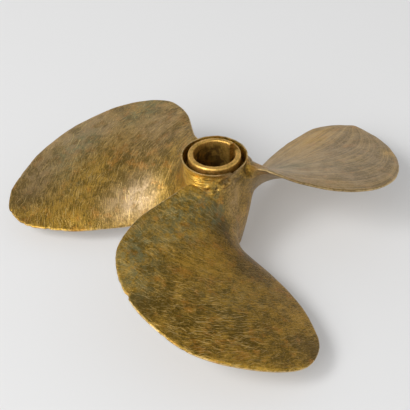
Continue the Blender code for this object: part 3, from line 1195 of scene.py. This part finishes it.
@dataclass(frozen=True)
class CastBronze:
    """Old cast bronze: ground and brushed, gone olive and brown, with green patches and bright edges."""

    gold: Colour = (0.58, 0.335, 0.048)
    olive: Colour = (0.135, 0.082, 0.007)
    umber: Colour = (0.070, 0.036, 0.008)
    verdigris: Colour = (0.115, 0.135, 0.060)
    grey: Colour = (0.42, 0.30, 0.17)
    copper: Colour = (0.56, 0.23, 0.030)
    bright: Colour = (0.92, 0.64, 0.24)
    edge: Colour = (0.93, 0.70, 0.36)

    def material(self) -> bpy.types.Material:
        """Build the finish.

        Returns:
            The material.
        """
        made = bpy.data.materials.new("old_cast_bronze")
        made.use_nodes = True
        graph = Graph(made.node_tree)
        shader = made.node_tree.nodes["Principled BSDF"]
        place = graph.put("ShaderNodeTexCoord", {}).outputs["Object"]
        brush = graph.put("ShaderNodeUVMap", {}, uv_map="brush").outputs[0]
        hold = {name: graph.attribute(name) for name in ("rim", "patina", "dark", "golden", "pale", "ground", "brushed")}
        broad = graph.group(Effect.MOTTLE, vector=place, size=30.0, seed=3.0, low=0.38, high=0.62, detail=3.0)
        clouds = graph.group(Effect.MOTTLE, vector=place, size=9.0, seed=11.0, low=0.40, high=0.60, detail=5.0)
        grain = graph.group(Effect.MOTTLE, vector=place, size=1.5, seed=5.0, low=0.37, high=0.63, detail=8.0, rough=0.85)
        speck = graph.group(Effect.MOTTLE, vector=place, size=1.1, seed=23.0, low=0.56, high=0.70, detail=6.0, rough=0.75)
        pits = graph.group(Effect.MOTTLE, vector=place, size=1.8, seed=31.0, low=0.44, high=0.32, detail=7.0, rough=0.8)
        hatch = self.hatch(graph, brush, hold["ground"])
        fibre = graph.group(Effect.STROKES, vector=brush, long=6.0, wide=0.9, turn=4.0, sway=0.5, low=0.34, high=0.66, detail=6.0)
        streaks = graph.group(Effect.STROKES, vector=brush, long=90.0, wide=2.4, turn=0.0, sway=0.0, low=0.35, high=0.65, detail=5.0)
        turning = graph.group(Effect.STROKES, vector=brush, long=28.0, wide=0.8, turn=1.5, sway=0.1, low=0.38, high=0.62)
        turned_here = graph.times(hold["golden"], graph.math("SUBTRACT", turning, 0.5))
        lined = graph.times(hold["ground"], graph.math("SUBTRACT", fibre, grain))
        texture = graph.math("ADD", grain, graph.times(lined, 0.9))
        quiet = graph.total(graph.times(streaks, 0.45), graph.times(grain, 0.30), 0.10)
        texture = graph.math("ADD", texture, graph.times(hold["brushed"], graph.math("SUBTRACT", quiet, texture)))
        clouds = graph.times(clouds, graph.span(hold["brushed"], 0.0, 1.0, 1.0, 0.5))
        lit = graph.total(
            graph.times(broad, 0.16), graph.times(clouds, 0.24), graph.times(texture, 0.70), graph.times(hold["golden"], 0.50),
            graph.times(turned_here, 0.60),
            graph.times(hold["dark"], -0.50),
        )
        colour = graph.mix(graph.span(lit, 0.17, 1.01), rgba(self.olive), rgba(self.gold))
        # the dark stain, which in the hub's dents is painted shade, and the pits turn the colour towards umber
        deep = graph.math("ADD", graph.times(hold["dark"], 0.55), graph.times(pits, 0.60))
        colour = graph.mix(graph.times(graph.span(deep, 0.0, 1.0), 0.90), colour, rgba(self.umber))
        spots = graph.group(Effect.MOTTLE, vector=place, size=9.0, seed=41.0, low=0.53, high=0.66, detail=5.0)
        colour = graph.mix(graph.times(spots, graph.span(texture, 0.0, 1.0, 0.15, 0.60)), colour, rgba(self.copper))
        # grey tone, which on the left blade's root is also a painted highlight
        greyed_and_sheen = graph.times(hold["pale"], graph.span(graph.math("ADD", clouds, texture), 0.2, 1.6, 0.35, 1.0))
        colour = graph.mix(greyed_and_sheen, colour, rgba(self.grey))
        crust = graph.group(Effect.MOTTLE, vector=place, size=5.0, seed=57.0, low=0.38, high=0.62, detail=8.0, rough=0.78)
        green = graph.times(hold["patina"], crust)
        colour = graph.mix(graph.times(green, 0.70), colour, rgba(self.verdigris))
        gleam = graph.math("MAXIMUM", graph.times(hatch, 0.80), graph.times(speck, graph.span(hold["golden"], 0.2, 0.9, 0.44, 0.1)))
        colour = graph.mix(graph.times(gleam, graph.span(deep, 0.9, 0.2)), colour, rgba(self.bright))
        soft = graph.times(hold["brushed"], graph.math("SUBTRACT", streaks, 0.5))
        stripe = graph.mix(graph.span(soft, -0.02, 0.02), rgba(self.olive), rgba(self.bright))
        colour = graph.mix(graph.times(graph.math("ABSOLUTE", soft), 0.16), colour, stripe)
        worn = graph.group(Effect.EDGE_WEAR, vector=place, distance=hold["rim"], reach=0.8, breakup=1.0)
        colour = graph.mix(graph.times(worn, 0.55), colour, rgba(self.edge))
        graph.tree.links.new(colour, shader.inputs["Base Color"])
        metal = graph.total(0.92, graph.times(green, -0.50), graph.times(deep, -0.30))
        graph.tree.links.new(metal, shader.inputs["Metallic"])
        rough = graph.total(0.36, graph.times(green, 0.20), graph.times(grain, -0.06), graph.times(deep, 0.12), graph.times(hold["brushed"], 0.08), graph.times(hold["golden"], 0.02))
        graph.tree.links.new(rough, shader.inputs["Roughness"])
        shader.inputs["Coat Weight"].default_value = 0.08
        shader.inputs["Coat Roughness"].default_value = 0.38
        skin = graph.total(graph.times(texture, 0.6), graph.times(speck, 0.5), graph.times(pits, -0.6))
        height = graph.total(
            graph.times(skin, graph.span(hold["golden"], 0.1, 0.9, 1.0, 0.25)), graph.times(hatch, -0.7),
            graph.times(graph.times(streaks, hold["brushed"]), 0.20), graph.times(turned_here, 0.8),
        )
        bump = graph.put("ShaderNodeBump", {"Height": height, "Distance": 0.00018, "Strength": 1.0})
        graph.tree.links.new(bump.outputs[0], shader.inputs["Normal"])
        return made

    def hatch(self, graph: Graph, brush: bpy.types.NodeSocket, ground: bpy.types.NodeSocket) -> bpy.types.NodeSocket:
        """Grinding strokes that cross each other at small angles.

        Args:
            graph: the material's nodes.
            brush: the map that follows the blades.
            ground: how strongly each place was ground.

        Returns:
            The mask of the strokes.
        """
        layers = []
        for turn, long, wide, seed in ((8.0, 14.0, 0.75, 1.0), (-14.0, 11.0, 0.7, 4.0), (24.0, 9.0, 0.7, 9.0)):
            layers.append(graph.group(
                Effect.STROKES, vector=brush, long=long, wide=wide, turn=turn, sway=0.5, seed=seed, low=0.60, high=0.70,
            ))
        both = graph.math("MAXIMUM", graph.math("MAXIMUM", layers[0], layers[1]), layers[2])
        return graph.times(both, ground)


@dataclass(frozen=True)
class BushBronze:
    """Turned bronze: bright on its rounded end, with fine rings from the lathe, and painted shade that darkens it below
    the lip and down into the bore.
    """

    metal: Colour = (0.84, 0.50, 0.13)
    tarnish: Colour = (0.33, 0.20, 0.035)
    shade: Colour = (0.13, 0.070, 0.018)

    def material(self) -> bpy.types.Material:
        """Build the finish.

        Returns:
            The material.
        """
        made = bpy.data.materials.new("turned_bush_bronze")
        made.use_nodes = True
        graph = Graph(made.node_tree)
        shader = made.node_tree.nodes["Principled BSDF"]
        place = graph.put("ShaderNodeTexCoord", {}).outputs["Object"]
        brush = graph.put("ShaderNodeUVMap", {}, uv_map="brush").outputs[0]
        stained = graph.group(Effect.MOTTLE, vector=place, size=6.0, seed=2.0, low=0.42, high=0.66, detail=5.0)
        grain = graph.group(Effect.MOTTLE, vector=place, size=1.6, seed=8.0, low=0.40, high=0.62, detail=4.0, rough=0.7)
        rings = graph.group(Effect.STROKES, vector=brush, long=60.0, wide=0.7, turn=0.0, sway=0.05, low=0.35, high=0.65, detail=3.0)
        height = graph.put("ShaderNodeSeparateXYZ", {0: place}).outputs[2]
        # painted shade: 0 just above the lip, rising to 1 a few millimetres below it, where the bush sits in the groove
        # and the bore
        inside = graph.span(height, LIP_HEIGHT + 0.0006, LIP_HEIGHT - 0.0052)
        # real tarnish from the stains and grain, plus painted shade that pulls the colour towards tarnish below the lip
        tarnish_and_shade = graph.total(graph.times(stained, 0.45), graph.times(grain, 0.45), graph.times(inside, 0.5))
        colour = graph.mix(tarnish_and_shade, rgba(self.metal), rgba(self.tarnish))
        # painted shade: below the lip the colour goes to the dark shade colour, broken up by the stains
        colour = graph.mix(graph.times(inside, graph.span(stained, 0.0, 1.0, 0.05, 0.9)), colour, rgba(self.shade))
        graph.tree.links.new(colour, shader.inputs["Base Color"])
        graph.tree.links.new(graph.total(0.40, graph.times(tarnish_and_shade, 0.16)), shader.inputs["Roughness"])
        shader.inputs["Metallic"].default_value = 0.92
        relief = graph.total(graph.times(rings, 0.6), graph.times(grain, 0.5))
        bump = graph.put("ShaderNodeBump", {"Height": relief, "Distance": 0.00012, "Strength": 0.8})
        graph.tree.links.new(bump.outputs[0], shader.inputs["Normal"])
        return made


def main() -> None:
    """Build the pieces in order, dress them and set up the studio."""
    logging.basicConfig(level=logging.INFO)
    deselect_all()
    bpy.context.scene.view_settings.view_transform = "Standard"
    for piece, node, slot in (
        (Casting().build(), Node.CASTING, Slot.CAST),
        (Bush().build(), Node.BUSH, Slot.BUSH),
    ):
        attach(piece, BODY)
        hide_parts(node.value)
        LOG.info("%s: %d faces", piece.name, len(piece.data.polygons))
    studio = Studio()
    studio.floor()
    studio.camera()
    studio.lights()


if __name__ == "__main__":
    main()
